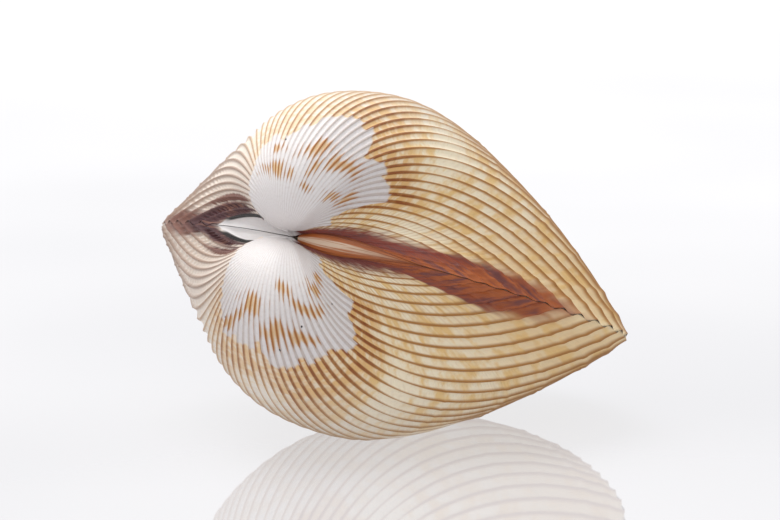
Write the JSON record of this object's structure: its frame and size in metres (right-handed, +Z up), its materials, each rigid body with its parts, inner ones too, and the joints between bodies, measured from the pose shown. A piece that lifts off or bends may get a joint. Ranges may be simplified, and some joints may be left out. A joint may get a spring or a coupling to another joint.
{
  "type": "ribbed cockle shell",
  "caption": "Closed ribbed bivalve shell: two swollen valves that meet along a toothed edge and open on a ligament behind the beaks.",
  "frame": {"origin": "centre of the small flat spot of the left valve that the shell rests on", "axes": "+X towards the hind end of the shell, which is its longest extent; +Y from the hinge towards the opening edge; +Z up from the table, with the right valve on top"},
  "size_m": [0.0599, 0.0548, 0.0443],
  "materials": {
    "right_valve": "satin, cream with brown grooves and a white beak",
    "left_valve": "satin, cream with brown grooves and a white beak",
    "ligament": "horny, brown and amber, slightly glossy"
  },
  "bodies": {
    "left": {"left_valve": "left_valve", "ligament": "ligament"},
    "right": {"right_valve": "right_valve"}
  },
  "joints": [
    {"name": "valve_hinge", "type": "hinge", "parent": "left", "child": "right", "pos_m": [-0.01444, -0.01807, 0.02831], "axis": [0.8929, -0.4384, -0.1028], "range_deg": [0, 20]}
  ]
}
